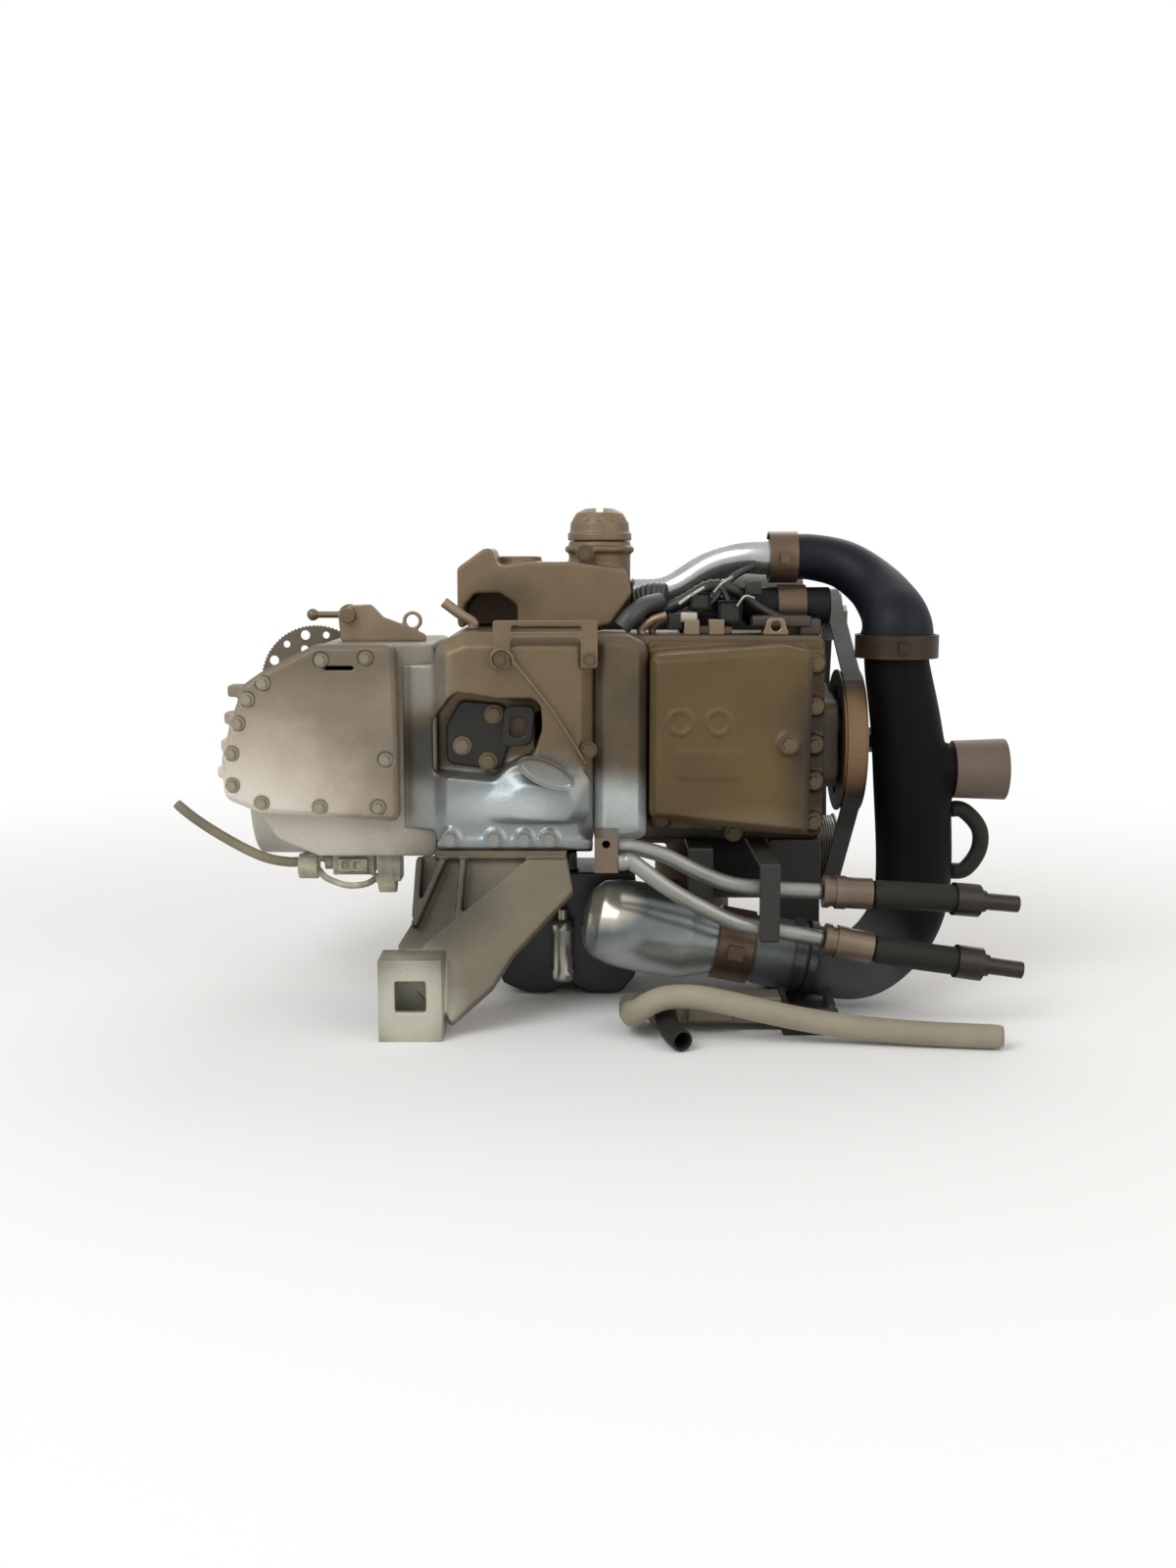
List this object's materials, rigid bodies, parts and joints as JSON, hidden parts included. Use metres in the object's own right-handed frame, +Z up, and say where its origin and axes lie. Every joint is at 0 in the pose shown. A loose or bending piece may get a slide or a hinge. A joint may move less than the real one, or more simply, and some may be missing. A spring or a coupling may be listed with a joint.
{
  "type": "car engine",
  "caption": "Small transverse car engine with its gearbox, lying on its mounts with the oil pan to the front, with belt drive, charge pipe, bright lines and hoses",
  "frame": {"origin": "middle of the unit's footprint, pipes and hoses included, at floor level", "axes": "+X along the crankshaft from the gearbox to the belt drive, -Y is the oil pan side, +Z up"},
  "size_m": [0.8613, 0.6658, 0.513],
  "materials": {
    "gearbox_shell": "cast, oily",
    "gearbox_cover": "cast, oily",
    "bell_housing": "cast, oily",
    "recess_cover": "worn satin",
    "engine_block": "rough",
    "oil_pan": "cast, oily",
    "front_bolts": "dull",
    "crankshaft": "rough",
    "flywheel_clutch": "rough",
    "belt_pulley": "worn satin",
    "piston_1": "cast, oily",
    "piston_2": "cast, oily",
    "piston_3": "cast, oily",
    "head": "cast, oily",
    "upper_cam": "dull",
    "lower_cam": "dull",
    "cam_cover": "matte",
    "ignition_coils": "matte",
    "timing_chain": "dull",
    "timing_cover": "cast, oily",
    "accessory_belt": "matte",
    "alternator": "cast, oily",
    "alternator_rotor": "dull",
    "compressor": "cast, oily",
    "compressor_drive": "dull",
    "tensioner_arm": "cast, oily",
    "tensioner_roller": "matte",
    "intake_manifold": "matte",
    "exhaust": "rough",
    "drive_shaft": "dull",
    "output_shaft": "dull",
    "differential": "dull",
    "rear_foot": "worn satin",
    "mount_bracket": "worn satin",
    "wedge_foot": "worn satin",
    "mount_bolts": "dull",
    "actuator": "cast, oily",
    "filter_cap": "cast, oily",
    "top_guide": "dull",
    "selector_bracket": "dull",
    "selector_lever": "dull",
    "perforated_disc": "dull",
    "top_fittings": "dull",
    "charge_pipe": "cast, oily",
    "elbow_hose": "matte",
    "hose_clamps": "dull",
    "charge_duct": "matte",
    "hose_stub": "matte",
    "domed_can": "cast, oily",
    "lower_pipe": "worn satin",
    "recirculation": "matte",
    "bright_lines": "cast, oily",
    "line_ends": "cast, oily",
    "straps": "matte",
    "short_hoses": "matte",
    "valve_block": "cast, oily",
    "shield": "matte",
    "plugs": "matte",
    "coolant_hose": "matte",
    "vent_pipe": "matte"
  },
  "bodies": {
    "unit": {"gearbox_shell": "gearbox_shell", "gearbox_cover": "gearbox_cover", "bell_housing": "bell_housing", "recess_cover": "recess_cover", "engine_block": "engine_block", "oil_pan": "oil_pan", "front_bolts": "front_bolts", "head": "head", "cam_cover": "cam_cover", "ignition_coils": "ignition_coils", "timing_chain": "timing_chain", "timing_cover": "timing_cover", "accessory_belt": "accessory_belt", "alternator": "alternator", "compressor": "compressor", "intake_manifold": "intake_manifold", "exhaust": "exhaust", "rear_foot": "rear_foot", "mount_bracket": "mount_bracket", "wedge_foot": "wedge_foot", "mount_bolts": "mount_bolts", "actuator": "actuator", "top_guide": "top_guide", "selector_bracket": "selector_bracket", "top_fittings": "top_fittings", "charge_pipe": "charge_pipe", "elbow_hose": "elbow_hose", "hose_clamps": "hose_clamps", "charge_duct": "charge_duct", "hose_stub": "hose_stub", "domed_can": "domed_can", "lower_pipe": "lower_pipe", "recirculation": "recirculation", "bright_lines": "bright_lines", "line_ends": "line_ends", "straps": "straps", "short_hoses": "short_hoses", "valve_block": "valve_block", "shield": "shield", "plugs": "plugs", "coolant_hose": "coolant_hose", "vent_pipe": "vent_pipe"},
    "crank": {"crankshaft": "crankshaft", "flywheel_clutch": "flywheel_clutch", "belt_pulley": "belt_pulley"},
    "first_piston": {"piston_1": "piston_1"},
    "second_piston": {"piston_2": "piston_2"},
    "third_piston": {"piston_3": "piston_3"},
    "upper_camshaft": {"upper_cam": "upper_cam"},
    "lower_camshaft": {"lower_cam": "lower_cam"},
    "alternator_shaft": {"alternator_rotor": "alternator_rotor"},
    "compressor_shaft": {"compressor_drive": "compressor_drive"},
    "tensioner": {"tensioner_arm": "tensioner_arm"},
    "idler": {"tensioner_roller": "tensioner_roller"},
    "gearbox_input": {"drive_shaft": "drive_shaft"},
    "gearbox_output": {"output_shaft": "output_shaft"},
    "final_drive": {"differential": "differential"},
    "turret_cap": {"filter_cap": "filter_cap"},
    "selector": {"selector_lever": "selector_lever"},
    "pulse_disc": {"perforated_disc": "perforated_disc"}
  },
  "joints": [
    {"name": "crank_spin", "type": "hinge", "parent": "unit", "child": "crank", "pos_m": [0.02715, -0.052, 0.265], "axis": [1, 0, 0], "continuous": true},
    {"name": "first_piston_slide", "type": "slide", "parent": "unit", "child": "first_piston", "axis": [0, 1, 0], "range_m": [-0.035, 0.048]},
    {"name": "second_piston_slide", "type": "slide", "parent": "unit", "child": "second_piston", "axis": [0, 1, 0], "range_m": [-0.0035, 0.0795]},
    {"name": "third_piston_slide", "type": "slide", "parent": "unit", "child": "third_piston", "axis": [0, 1, 0], "range_m": [-0.0765, 0.007]},
    {"name": "upper_cam_spin", "type": "hinge", "parent": "unit", "child": "upper_camshaft", "pos_m": [0.02715, 0.263, 0.299], "axis": [1, 0, 0], "continuous": true},
    {"name": "lower_cam_spin", "type": "hinge", "parent": "unit", "child": "lower_camshaft", "pos_m": [0.02715, 0.263, 0.231], "axis": [1, 0, 0], "continuous": true},
    {"name": "alternator_spin", "type": "hinge", "parent": "unit", "child": "alternator_shaft", "pos_m": [0.02715, 0.098, 0.392], "axis": [1, 0, 0], "continuous": true},
    {"name": "compressor_spin", "type": "hinge", "parent": "unit", "child": "compressor_shaft", "pos_m": [0.02715, 0.098, 0.11], "axis": [1, 0, 0], "continuous": true},
    {"name": "tensioner_swing", "type": "hinge", "parent": "unit", "child": "tensioner", "pos_m": [0.02715, 0.098, 0.3], "axis": [1, 0, 0], "range_deg": [-12, 0], "stiffness_Nm_per_rad": 60, "springref_deg": 28.65},
    {"name": "idler_spin", "type": "hinge", "parent": "tensioner", "child": "idler", "pos_m": [0.02715, 0.13, 0.24], "axis": [1, 0, 0], "continuous": true},
    {"name": "gearbox_input_spin", "type": "hinge", "parent": "unit", "child": "gearbox_input", "pos_m": [0.02715, -0.052, 0.265], "axis": [1, 0, 0], "continuous": true},
    {"name": "gearbox_output_spin", "type": "hinge", "parent": "unit", "child": "gearbox_output", "pos_m": [0.02715, -0.112, 0.22], "axis": [1, 0, 0], "continuous": true},
    {"name": "final_drive_spin", "type": "hinge", "parent": "unit", "child": "final_drive", "pos_m": [0.02715, -0.016, 0.22], "axis": [1, 0, 0], "continuous": true},
    {"name": "turret_cap_turn", "type": "hinge", "parent": "unit", "child": "turret_cap", "pos_m": [0.00765, -0.04, 0.478], "axis": [0, 0, 1], "continuous": true},
    {"name": "selector_turn", "type": "hinge", "parent": "unit", "child": "selector", "pos_m": [-0.25235, -0.112, 0.402], "axis": [0, 1, 0], "range_deg": [-15, 15]},
    {"name": "pulse_disc_spin", "type": "hinge", "parent": "unit", "child": "pulse_disc", "pos_m": [-0.31835, 0.078, 0.319], "axis": [0, 1, 0], "continuous": true}
  ],
  "couplings": [
    {"joint": "upper_cam_spin", "follows": "crank_spin", "ratio": 0.5},
    {"joint": "lower_cam_spin", "follows": "crank_spin", "ratio": 0.5},
    {"joint": "alternator_spin", "follows": "crank_spin", "ratio": 2.6429},
    {"joint": "compressor_spin", "follows": "crank_spin", "ratio": 1.5417},
    {"joint": "idler_spin", "follows": "crank_spin", "ratio": 2.4667},
    {"joint": "gearbox_output_spin", "follows": "gearbox_input_spin", "ratio": -0.66667},
    {"joint": "final_drive_spin", "follows": "gearbox_input_spin", "ratio": 0.22222}
  ]
}
